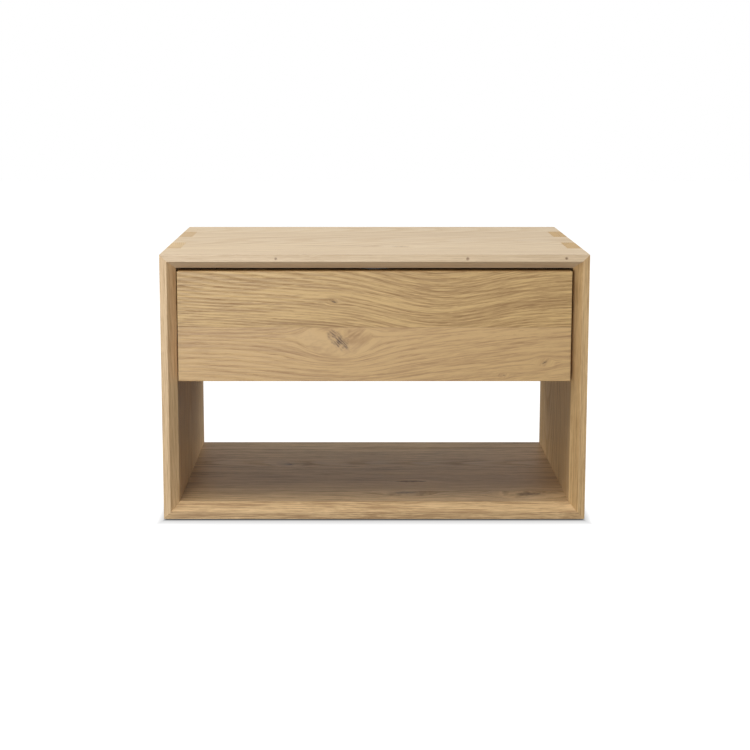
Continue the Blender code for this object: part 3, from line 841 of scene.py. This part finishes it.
# %% Make the plywood
def ply_finish(low, ply):
    """low is the height of the lowest ply's underside, and ply the thickness of one."""
    material = new_material("birch plywood")
    x, y, z = separate(node("TexCoord", out="Object"))
    up = size_of(separate(node("TexCoord", out="Normal"))[2])

    def streaks(along, across, detail):
        vector = combine(times(x, along), times(y, across), 3.1)
        wanted = {"Vector": vector, "Scale": 1.0, "Detail": detail, "Distortion": 0.3}
        return node("TexNoise", wanted)

    broad, fine = streaks(5.0, 38.0, 3.0), streaks(30.0, 900.0, 2.0)
    face = mix(ramp(broad, 0.3, 0.7), srgb(226, 200, 160), srgb(204, 172, 128))
    face = mix(ramp(fine, 0.35, 0.7, 0.0, 0.4), face, srgb(186, 150, 106))
    level = over(minus(z, low), ply)
    odd = ramp(calc("PINGPONG", level, 1.0), 0.42, 0.58)
    side = mix(odd, srgb(206, 172, 124), srgb(150, 112, 72))
    to_middle = size_of(minus(calc("FRACT", level), 0.5))
    side = mix(ramp(to_middle, 0.44, 0.5, 0.0, 0.6), side, srgb(92, 64, 40))
    colour = mix(ramp(up, 0.6, 0.8), side, face)
    rough = ramp(fine, 0.2, 0.8, 0.48, 0.60)
    shade({"Base Color": colour, "Roughness": rough}, fine, 0.25, 0.1)
    return material


PLIES = 5
ply_low, ply_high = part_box("drawer_bottom_panel")
ply = (ply_high.z - ply_low.z) / PLIES
bottom = copy_node("drawer_bottom_panel")
ease(bottom, convex_edges(bottom, lambda edge: edge.calc_length() > 15 * MM), 0.4 * MM, 2)
plywood = ply_finish(ply_low.z, ply)
finish_piece(bottom, "drawer_bottom_plywood", "drawer", plywood, ["drawer_bottom_panel"])
print(f"plywood of {PLIES} plies, {ply / MM:.1f} mm each")

# %% [markdown]
# ## Metal, plastic and felt
#
# The small pieces share one group of surface detail. `Blotch` is broad and soft, such as uneven plating or
# oil, `Grit` is the fine grain of a moulded or plated skin, and `Rubbed` is a field of short scratches
# that run along the drawer's travel. Each finish then says how strongly they colour, dull and dent it.


# %% Make the surface group and the finishes
def make_surface_group():
    group, enter, give = new_group(
        "Surface",
        {"Place": (0, 0, 0), "Broad": 60.0, "Fine": 1500.0},
        {"Blotch": "Float", "Grit": "Float", "Rubbed": "Float"},
    )
    blotch = node("TexNoise", {"Vector": enter["Place"], "Scale": enter["Broad"], "Detail": 3.0})
    grit = node("TexNoise", {"Vector": enter["Place"], "Scale": enter["Fine"], "Detail": 2.0})
    x, y, z = separate(enter["Place"])
    lines = combine(times(x, 1900.0), times(y, 70.0), times(z, 1900.0))
    rubbed = node("TexNoise", {"Vector": lines, "Scale": 1.0, "Detail": 2.0})
    give(Blotch=ramp(blotch, 0.3, 0.7))
    give(Grit=ramp(grit, 0.25, 0.75))
    give(Rubbed=ramp(rubbed, 0.55, 0.70))
    return group


SURFACE = make_surface_group()


def made_finish(name, first, second, rough, metallic=0.0, broad=60.0, fine=1500.0, dent=0.05, rub=0.0):
    """A finish between two colours. rough is its lowest and highest roughness, dent the depth of its grain
    in millimetres, and rub how far scratches brighten it."""
    material = new_material(name)
    place = node("TexCoord", out="Object")
    skin = use_group(SURFACE, {"Place": place, "Broad": broad, "Fine": fine})
    blend = times_plus(skin["Grit"], 0.4, times(skin["Blotch"], 0.6))
    colour = mix(blend, srgb(*first), srgb(*second))
    if rub:
        bright = tuple(min(1.0, c * 1.5 + 0.05) for c in srgb(*first)[:3]) + (1.0,)
        colour = mix(times(skin["Rubbed"], rub), colour, bright)
    roughness = ramp(blend, 0.0, 1.0, *rough)
    looked = {"Base Color": colour, "Roughness": roughness, "Metallic": metallic}
    shade(looked, skin["Grit"], 0.3, dent)
    finishes.append(name)
    return material


finishes = []
ZINC = made_finish("bright zinc", (188, 192, 198), (158, 162, 170), (0.34, 0.50), 1.0, 90, 2200, 0.02, 0.35)
SCREW_ZINC = made_finish("screw zinc", (186, 186, 184), (150, 150, 150), (0.30, 0.46), 1.0, 220, 2600, 0.02)
BALL = made_finish("polished balls", (214, 216, 220), (198, 200, 205), (0.06, 0.14), 1.0, 300, 3000, 0.004)
CAGE = made_finish("blackened cage", (62, 62, 66), (40, 40, 43), (0.34, 0.50), 1.0, 120, 2200, 0.02, 0.25)
SPRING = made_finish("spring wire", (176, 174, 168), (140, 138, 134), (0.22, 0.36), 1.0, 200, 2600, 0.01)
MAGNET = made_finish("nickel magnet", (196, 193, 186), (168, 165, 158), (0.20, 0.34), 1.0, 200, 2600, 0.01)
GREY = made_finish("grey plastic", (86, 88, 90), (74, 76, 78), (0.42, 0.56), 0.0, 80, 1800, 0.06)
BLACK = made_finish("black plastic", (40, 40, 42), (28, 28, 30), (0.38, 0.52), 0.0, 80, 1800, 0.06)
FELT = made_finish("wool felt", (120, 108, 96), (82, 72, 63), (0.90, 1.00), 0.0, 420, 1500, 0.60)
BEECH = made_finish("beech wood", (214, 172, 130), (186, 140, 98), (0.50, 0.62), 0.0, 500, 2600, 0.05)
FELT.node_tree.nodes["Principled BSDF"].inputs["Sheen Weight"].default_value = 0.4
print("finishes:", ", ".join(finishes))

# %% [markdown]
# ## Turned pieces
#
# Screws, dowels, rivets and discs are turned on a lathe, and `spin` is Blender's lathe. A profile is drawn
# from the axis out and back to the axis, spun about Z, and then the whole piece is turned and put in its
# place. Faces are shaded smooth, and edges sharper than 35 degrees stay sharp.


# %% Turn a profile
def spin(bm, geom, steps, turns=1.0, climb=0.0, merge=False):
    """Spins geom about Z. climb is how far it rises at each step."""
    return bmesh.ops.spin(
        bm,
        geom=geom,
        axis=(0, 0, 1),
        cent=(0, 0, 0),
        dvec=(0, 0, climb),
        steps=steps,
        angle=turns * math.tau,
        use_merge=merge,
    )


def turn_profile(bm, profile, segments=32):
    """Spins a profile of (radius, height) in millimetres about Z, and returns its vertices."""
    before = set(bm.verts)
    points = [bm.verts.new((radius * MM, 0, height * MM)) for radius, height in profile]
    edges = [bm.edges.new(pair) for pair in zip(points, points[1:])]
    spin(bm, points + edges, segments, merge=True)
    bmesh.ops.remove_doubles(bm, verts=[v for v in bm.verts if v not in before], dist=0.001 * MM)
    return [v for v in bm.verts if v not in before]


def shade_round(bm, sharp=35):
    for face in bm.faces:
        face.smooth = True
    for edge in bm.edges:
        edge.smooth = edge.is_manifold and edge.calc_face_angle() < math.radians(sharp)


def set_down(bm, place, direction):
    """Turns Z to direction, moves the origin to place, and makes the normals and the shading right."""
    turn = Vector((0, 0, 1)).rotation_difference(Vector(direction)).to_matrix().to_4x4()
    bmesh.ops.transform(bm, verts=bm.verts, matrix=Matrix.Translation(place) @ turn)
    bmesh.ops.recalc_face_normals(bm, faces=bm.faces)
    shade_round(bm)


def start_of(name, direction):
    """The middle of the end of a node's box from which it runs along direction, and its length."""
    low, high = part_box(name)
    axis = max(range(3), key=lambda a: abs(direction[a]))
    start = (low + high) / 2
    start[axis] = low[axis] if direction[axis] > 0 else high[axis]
    return start, (high[axis] - low[axis]) / MM


def turned_piece(name, body, material, direction, shape, suffix=""):
    """shape fills a bmesh along Z, given the length of the node in millimetres."""
    start, length = start_of(name, direction)
    bm = bmesh.new()
    shape(bm, length)
    set_down(bm, start, direction)
    return finish_piece(bm, name + suffix, body, material, [name])


# %% [markdown]
# A wood screw has a flat head with a cross recess and a thread. The recess starts as two rings of the spun
# head, which are then pulled into the outline of a cross. The thread is a small triangle that is spun too,
# with a step forward at each turn, so it climbs as a real thread does.

# %% Make the screws
HEAD, SHANK, CORE, PITCH = 3.6, 1.7, 1.25, 1.35
RECESS_RINGS = ((0.85, 1.3, 0.22), (1.9, 0.0, 0.42))  # reach, depth and half width of the cross


def cross_outline(angle, reach, half_width):
    off = (angle + math.pi / 4) % (math.pi / 2) - math.pi / 4
    return min(reach, half_width / max(abs(math.sin(off)), 1e-6))


def shape_screw(bm, length):
    (inner, depth, _), (outer, _, _) = RECESS_RINGS
    profile = [(0, depth), (inner, depth), (outer, 0), (HEAD - 0.25, 0), (HEAD, 0.2), (SHANK, 2.0)]
    profile += [(SHANK, 2.9), (CORE, 3.2), (CORE, length - 3), (0, length)]
    for vert in turn_profile(bm, profile):
        for reach, depth, half_width in RECESS_RINGS:
            radius = vert.co.xy.length / MM
            if abs(radius - reach) < 1e-3 and abs(vert.co.z / MM - depth) < 1e-3:
                wanted = cross_outline(math.atan2(vert.co.y, vert.co.x), reach, half_width)
                vert.co.xy *= wanted / radius
    per_turn = 20
    steps = int((length - 6.4) / PITCH * per_turn)
    corners = [(CORE - 0.2, 3.1), (SHANK, 3.1 + PITCH * 0.35), (CORE - 0.2, 3.1 + PITCH * 0.7)]
    triangle = bm.faces.new([bm.verts.new((radius * MM, 0, height * MM)) for radius, height in corners])
    section = [*triangle.verts, *triangle.edges, triangle]
    spin(bm, section, steps, turns=steps / per_turn, climb=PITCH * MM / per_turn)


SIDES = {"left": -1, "right": 1}
screws = {}
for side, x in SIDES.items():
    for end in ("front", "back"):
        screws[f"{side}_outer_rail_{end}_screw"] = ("case", (x, 0, 0))
        screws[f"{side}_inner_rail_{end}_screw"] = ("drawer", (-x, 0, 0))
    for level in ("lower", "upper"):
        screws[f"drawer_front_{level}_{side}_screw"] = ("drawer", (0, -1, 0))
    screws[f"push_latch_{side}_screw"] = ("case", (0, 0, 1))
    screws[f"strike_plate_{side}_screw"] = ("drawer", (0, -1, 0))
for spot in ("left", "middle", "right"):
    screws[f"drawer_bottom_{spot}_screw"] = ("drawer", (0, 0, 1))
for name, (body, direction) in screws.items():
    turned_piece(name, body, SCREW_ZINC, direction, shape_screw, "_threaded")
print(len(screws), "screws")

# %% [markdown]
# Dowels are fluted, so that glue and air can leave the hole, and their ends are chamfered. The rivet has
# a domed head, and the floor pads are discs punched from felt, with a soft, slightly uneven rim.


# %% Make the dowels, rivets and pads
def shape_dowel(bm, length):
    profile = [(0, 0), (3.2, 0), (4, 0.8), (4, length - 0.8), (3.2, length), (0, length)]
    columns = 48
    for vert in turn_profile(bm, profile, columns):
        if round(math.atan2(vert.co.y, vert.co.x) / math.tau * columns) % 4 == 0:
            vert.co.xy *= 0.92


def shape_rivet(bm, length):
    dome = [(1.4, length - 0.7), (1.25, length - 0.3), (0.75, length - 0.05), (0, length)]
    turn_profile(bm, [(0, 0), (1.4, 0), *dome])


def shape_pad(bm, length):
    profile = [(0, 0), (5, 0), (10.3, 0), (10.8, 0.2), (11, 0.6), (11, length - 0.6), (10.8, length - 0.2)]
    profile += [(10.3, length), (5, length), (0, length)]
    for vert in turn_profile(bm, profile, 56):
        angle = math.atan2(vert.co.y, vert.co.x)
        vert.co.xy *= 1 - 0.006 * (1 + math.sin(9 * angle) * math.cos(5 * angle + 1))


for side, x in SIDES.items():
    for level in ("lower", "upper"):
        turned_piece(f"back_panel_{level}_{side}_dowel", "case", BEECH, (x, 0, 0), shape_dowel, "_fluted")
    turned_piece(f"{side}_release_lever_rivet", "drawer", SCREW_ZINC, (x, 0, 0), shape_rivet, "_domed")
    for end in ("front", "back"):
        turned_piece(f"{end}_{side}_floor_pad", "case", FELT, (0, 0, 1), shape_pad, "_felt")

# %% [markdown]
# ## The push latch
#
# A push on the drawer front presses a sprung plunger, and when it is let go the plunger pushes the drawer
# out. The plunger is a tube with a magnet in a steel cup on its tip. The spring is a wire circle, spun with
# a step: small steps make the closed turns at its ends and large ones the open turns between. One of its
# ends stays in the housing and the other goes with the plunger, but here the spring is fixed in place.


# %% Make the latch
def shape_plunger(bm, length):
    groove = [(4.2, 3.4), (3.95, 3.6), (3.95, 4.2), (4.2, 4.4)]
    grooves = [(radius, height + up) for up in (0, 2) for radius, height in groove]
    profile = [(0, 0), (3.85, 0), (4.2, 0.35), *grooves, (4.2, length - 0.3), (4.0, length), (3.0, length)]
    turn_profile(bm, profile + [(3.0, 20.0), (0, 20.0)], 48)


def shape_magnet(bm, length):
    profile = [(0, 0.25), (2.7, 0.25), (2.8, 0.45), (3.0, 0.45), (3.1, 0), (3.75, 0), (4, 0.25)]
    turn_profile(bm, profile + [(4, length), (0, length)], 48)


def shape_spring(bm, length):
    wire, coil, closed_turns, open_turns, steps = 0.35, 2.2, 1.5, 7, 28
    closed_pitch = 2.1 * wire
    open_pitch = (length - 2 * wire - 2 * closed_turns * closed_pitch) / open_turns
    made = bmesh.ops.create_circle(bm, cap_ends=True, segments=10, radius=wire * MM)["verts"]
    bmesh.ops.rotate(bm, verts=made, cent=(0, 0, 0), matrix=Matrix.Rotation(math.pi / 2, 3, "X"))
    bmesh.ops.translate(bm, verts=made, vec=(coil * MM, 0, wire * MM))
    end = bm.verts[:] + bm.edges[:] + bm.faces[:]
    closed, opened = (closed_turns, closed_pitch), (open_turns, open_pitch)
    for turns, pitch in (closed, opened, closed):
        end = spin(bm, end, int(turns * steps), turns, pitch * MM / steps)["geom_last"]


turned_piece("push_latch_plunger", "latch_plunger", GREY, (0, 1, 0), shape_plunger, "_tube")
turned_piece("push_latch_magnet", "latch_plunger", MAGNET, (0, 1, 0), shape_magnet, "_in_cup")
spring = turned_piece("push_latch_spring", None, SPRING, (0, -1, 0), shape_spring, "_coil")
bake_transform(spring)


def eased_copy(name, body, material, radius, least, suffix, segments=3):
    """A moulded or pressed piece: a copy of its node with its edges longer than least eased."""
    bm = copy_node(name)
    ease(bm, convex_edges(bm, lambda edge: edge.calc_length() > least), radius, segments)
    for face in bm.faces:
        if face.calc_area() < 0.5 * least * least:
            face.smooth = True
    return finish_piece(bm, name + suffix, body, material, [name])


eased_copy("push_latch_housing", "case", GREY, 0.5 * MM, 2.4 * MM, "_moulded")

plate = copy_node("strike_plate")
plate_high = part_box("strike_plate")[1]
corners = [
    edge
    for edge in convex_edges(plate, lambda edge: abs((edge.verts[0].co - edge.verts[1].co).y) > MM)
    if abs(edge.verts[0].co.x) > plate_high.x - SKIN
]
ease(plate, corners, 2.2 * MM, 6)
ease(plate, convex_edges(plate, lambda edge: edge.calc_length() > 5 * MM), 0.25 * MM, 2)
finish_piece(plate, "strike_plate_pressed", "drawer", ZINC, ["strike_plate"])

# %% [markdown]
# ## The slides
#
# A ball-bearing slide is three folded steel channels, one inside the other. They are made here as in a
# workshop: the outline of the outer skin is drawn out along the slide as a thin strip, its folds are rounded,
# holes are punched in the web while it is still one flat face, and only then the sheet gets its thickness,
# which keeps the mesh closed round every hole.

# %% Fold and punch sheet metal
slide_low, slide_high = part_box("left_outer_rail")
SLIDE_Z = (slide_low.z + slide_high.z) / 2
HOLE_SIDES = 24


def slide_spot(side, a, y, z):
    """A place in a slide: a is in from the case side, y along and z up from its middle, in millimetres."""
    return Vector((SIDES[side] * (INNER_X - a * MM), y * MM, SLIDE_Z + z * MM))


def fold_strip(side, outline, span, bend):
    """A strip along the slide, folded to an outline of (a, z). bend is the radius of its outer skin."""
    bm = bmesh.new()
    verts = [bm.verts.new(slide_spot(side, a, span[0], z)) for a, z in outline]
    edges = [bm.edges.new(pair) for pair in zip(verts, verts[1:])]
    drawn = bmesh.ops.extrude_edge_only(bm, edges=edges)["geom"]
    far = [made for made in drawn if isinstance(made, bmesh.types.BMVert)]
    bmesh.ops.translate(bm, verts=far, vec=(0, (span[1] - span[0]) * MM, 0))
    folds = [edge for edge in bm.edges if len(edge.link_faces) == 2]
    ease(bm, folds, bend * MM, 4, clamp=False)
    return bm


def punch(bm, holes):
    """Punches (middle, length, width) in millimetres through the web, with round ends."""
    web_x = max(bm.faces, key=lambda face: face.calc_area()).calc_center_median().x

    def web():
        return [face for face in bm.faces if abs(face.calc_center_median().x - web_x) < 0.01 * MM]

    room = max(width for _, _, width in holes) / 2 + 0.8
    scores = [(y + way * (length / 2 + 0.8), (0, 1, 0)) for y, length, _ in holes for way in (-1, 1)]
    scores += [(way * room, (0, 0, 1)) for way in (-1, 1)]
    for off, normal in scores:
        place = (0, off * MM, 0) if normal[1] else (0, 0, SLIDE_Z + off * MM)
        faces = web()
        touched = dict.fromkeys(part for face in faces for part in (*face.edges, *face.verts))
        bmesh.ops.bisect_plane(bm, geom=[*faces, *touched], plane_co=place, plane_no=normal, dist=0.001 * MM)
    for y, length, width in holes:
        middle = Vector((web_x, y * MM, SLIDE_Z))
        blank = min(web(), key=lambda face: (face.calc_center_median() - middle).length)
        rim = blank.edges[:]
        bmesh.ops.delete(bm, geom=[blank], context="FACES_ONLY")
        cut = bmesh.ops.subdivide_edges(bm, edges=rim, cuts=HOLE_SIDES // 4 - 1)["geom_split"]
        rim = [edge for edge in cut if isinstance(edge, bmesh.types.BMEdge) and edge.is_boundary]
        blank = bmesh.ops.contextual_create(bm, geom=rim)["faces"][0]
        bmesh.ops.inset_region(bm, faces=[blank], thickness=0.2 * MM)
        for vert in blank.verts:
            off = vert.co - middle
            core = Vector((0, max(-1, min(1, off.y / ((length - width + 0.01) / 2 * MM))), 0))
            core *= (length - width) / 2 * MM
            vert.co = middle + core + (off - core).normalized() * width / 2 * MM
        bmesh.ops.delete(bm, geom=[blank], context="FACES_ONLY")


def inward_step(vert, sheet):
    """How far the inner skin lies from this place of the outer one, also where two walls meet."""
    normals = []
    for face in vert.link_faces:
        if all(face.normal.dot(other) < 0.999 for other in normals):
            normals.append(face.normal)
    both = normals[0] + normals[-1]
    return -both * sheet / (1 + normals[0].dot(normals[-1]))


def thicken(bm, sheet, rim):
    """Gives the strip its thickness, inwards from the drawn skin, and eases the cut rims."""
    bmesh.ops.recalc_face_normals(bm, faces=bm.faces)
    web = max(bm.faces, key=lambda face: face.calc_area())
    middle = sum((vert.co for vert in bm.verts), Vector()) / len(bm.verts)
    if (web.calc_center_median() - middle).dot(web.normal) < 0:
        bmesh.ops.reverse_faces(bm, faces=bm.faces)
    step = bm.verts.layers.float_vector.new("step")
    for vert in bm.verts:
        vert[step] = inward_step(vert, sheet * MM)
    inner = bmesh.ops.extrude_face_region(bm, geom=bm.faces[:], use_keep_orig=True)["geom"]
    for vert in inner:
        if isinstance(vert, bmesh.types.BMVert):
            vert.co += vert[step]
    bm.verts.layers.float_vector.remove(step)
    bmesh.ops.recalc_face_normals(bm, faces=bm.faces)
    ease(bm, convex_edges(bm, lambda edge: edge.calc_face_angle_signed() > math.radians(60)), rim * MM, 2)


# %% [markdown]
# The sizes of the channels are those of the nodes: how far in their web and their edge lie from the case
# side, half their height, and how far the outer channel's lips turn in. Screws sit in the round holes, and
# the long ones let a fitter shift the slide.

# %% Make the rails
RAIL_SHEET = 1.2
RAILS = {
    "outer": {"body": "case", "web": 0.3, "end": 9.5, "half": 22.5, "lip": 2.7},
    "intermediate": {"body": None, "web": 3.6, "end": 11.2, "half": 16.5, "lip": 0},
    "inner": {"body": "drawer", "web": 12.7, "end": 7.4, "half": 10.2, "lip": 0},
}
SCREW_HOLES = [(-120, 7.5, 7.5), (70, 7.5, 7.5)]
RAIL_HOLES = {
    "outer": [*SCREW_HOLES, (-90, 16, 4.8), (-45, 16, 4.8), (25, 16, 4.8)],
    "intermediate": [(-120, 26, 4.8), (-5, 26, 4.8), (65, 26, 4.8)],
    "inner": [*SCREW_HOLES, (-95, 14, 4.8), (15, 14, 4.8), (47, 10, 4.8)],
}


def channel_outline(web, end, half, lip=0):
    upper = ([(end, half - lip)] if lip else []) + [(end, half), (web, half)]
    return upper + [(a, -z) for a, z in reversed(upper)]


def make_rail(side, kind):
    name, facts = f"{side}_{kind}_rail", RAILS[kind]
    low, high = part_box(name)
    outline = channel_outline(*(facts[key] for key in ("web", "end", "half", "lip")))
    bm = fold_strip(side, outline, (low.y / MM, high.y / MM), 1.6)
    punch(bm, RAIL_HOLES[kind])
    thicken(bm, RAIL_SHEET, 0.2)
    finish_piece(bm, name + "_folded", facts["body"] or name, ZINC, [name])
    return len(RAIL_HOLES[kind])


for side in SIDES:
    print(side, "slide:", sum(make_rail(side, kind) for kind in RAILS), "holes in three rails")
    eased_copy(f"{side}_rail_end_stop", "case", GREY, 0.8 * MM, 3 * MM, "_moulded")
    eased_copy(f"{side}_release_lever", f"{side}_release_lever", BLACK, 0.35 * MM, 1.7 * MM, "_moulded")

# %% [markdown]
# ## Balls and cages
#
# The channels run on steel balls, which thin blackened cages keep apart. A cage is a small channel of its
# own, folded and punched in the same way. Each ball sits in a pressed window, whose lip is a fine ring
# round it.

# %% Make the cages and balls
CAGE_SHEET, BALL_RADIUS, BALLS_IN_ROW = 0.8, 2.2, 4
LIP_WIRE = 0.28
CAGES = {  # the last two are how far in the balls lie, and where the cage starts and stops along the slide
    "outer": {"web": 2.1, "end": 9.2, "half": 19.3, "balls": 6.0, "span": (-90, 28)},
    "inner": {"web": 5.5, "end": 11.9, "half": 13.15, "balls": 8.7, "span": (-88, 10)},
}


def make_cage(side, kind):
    name, facts = f"{side}_{kind}_cage", CAGES[kind]
    start, stop = facts["span"]
    middle = (start + stop) / 2
    bm = fold_strip(side, channel_outline(facts["web"], facts["end"], facts["half"]), facts["span"], 1.1)
    punch(bm, [(middle - 22, 24, 4.8), (middle + 22, 24, 4.8)])
    thicken(bm, CAGE_SHEET, 0.12)
    balls = bmesh.new()
    pitch = (stop - start) / BALLS_IN_ROW
    for level in (-1, 1):
        for index in range(BALLS_IN_ROW):
            y, z = start + (index + 0.5) * pitch, level * (facts["half"] - CAGE_SHEET / 2)
            matrix = Matrix.Translation(slide_spot(side, facts["balls"], y, z))
            bmesh.ops.create_uvsphere(
                balls, u_segments=20, v_segments=12, radius=BALL_RADIUS * MM, matrix=matrix
            )
            wire = bmesh.ops.create_circle(bm, segments=8, radius=LIP_WIRE * MM)["verts"]
            bmesh.ops.rotate(bm, verts=wire, cent=(0, 0, 0), matrix=Matrix.Rotation(math.pi / 2, 3, "X"))
            bmesh.ops.translate(bm, verts=wire, vec=((BALL_RADIUS + 0.15) * MM, 0, level * 0.25 * MM))
            edges = dict.fromkeys(edge for vert in wire for edge in vert.link_edges)
            spin(bm, [*wire, *edges], 24, merge=True)
            made = [vert for vert in bm.verts if vert.co.length < 4 * MM]
            bmesh.ops.transform(bm, verts=made, matrix=matrix)
    bmesh.ops.recalc_face_normals(bm, faces=bm.faces)
    shade_round(bm, 50)
    shade_round(balls, 60)
    finish_piece(bm, name + "_pressed", name, CAGE, [name])
    finish_piece(balls, name + "_balls", name, BALL, ())
    return BALLS_IN_ROW * 2


print(sum(make_cage(side, kind) for side in SIDES for kind in CAGES), "balls")
